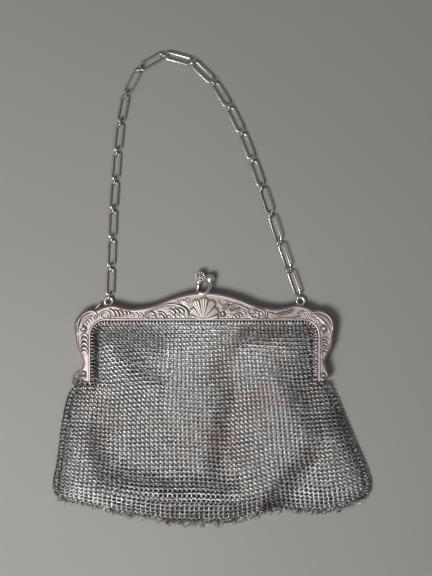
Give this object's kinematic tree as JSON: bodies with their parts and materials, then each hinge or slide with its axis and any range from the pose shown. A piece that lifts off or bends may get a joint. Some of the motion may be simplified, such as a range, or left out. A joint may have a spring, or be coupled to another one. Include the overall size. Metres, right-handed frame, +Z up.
{
  "type": "mesh alms purse",
  "caption": "Flat metal ring-mesh purse with a hinged shell-and-scroll frame, a two-knob snap clasp and a chain handle, lying on its back.",
  "frame": {"origin": "middle of the purse's outline, on the table it lies on", "axes": "+X to the right, +Y from the pouch towards the top of the chain handle, +Z up from the table through the front of the purse"},
  "size_m": [0.1754, 0.2598, 0.0089],
  "materials": {
    "frame_silver": "worn silver plate, satin, dark in the hollows of the relief",
    "mesh_silver": "fine ring mesh, tarnished, bright on the tops of the rings",
    "chain_silver": "polished wire, slightly tarnished"
  },
  "bodies": {
    "root": {"frame_front": "frame_silver", "frame_back": "frame_silver", "hinge_pin_left": "frame_silver", "hinge_pin_right": "frame_silver", "clasp_knob_front": "frame_silver", "clasp_knob_back": "frame_silver", "mesh_bag": "mesh_silver", "chain_link_01": "chain_silver", "chain_link_02": "chain_silver", "chain_link_03": "chain_silver", "chain_link_04": "chain_silver", "chain_link_05": "chain_silver", "chain_link_06": "chain_silver", "chain_link_07": "chain_silver", "chain_link_08": "chain_silver", "chain_link_09": "chain_silver", "chain_link_10": "chain_silver", "chain_link_11": "chain_silver", "chain_link_12": "chain_silver", "chain_link_13": "chain_silver", "chain_link_14": "chain_silver", "chain_link_15": "chain_silver", "chain_link_16": "chain_silver", "chain_link_17": "chain_silver", "chain_link_18": "chain_silver", "chain_link_19": "chain_silver", "chain_ring_01": "chain_silver", "chain_ring_02": "chain_silver", "chain_ring_03": "chain_silver", "chain_ring_04": "chain_silver", "chain_ring_05": "chain_silver", "chain_ring_06": "chain_silver", "chain_ring_07": "chain_silver", "chain_ring_08": "chain_silver", "chain_ring_09": "chain_silver", "chain_ring_10": "chain_silver", "chain_ring_11": "chain_silver", "chain_ring_12": "chain_silver", "chain_ring_13": "chain_silver", "chain_ring_14": "chain_silver", "chain_ring_15": "chain_silver", "chain_ring_16": "chain_silver", "chain_ring_17": "chain_silver", "chain_ring_18": "chain_silver", "chain_ring_19": "chain_silver", "chain_ring_20": "chain_silver"}
  },
  "joints": []
}
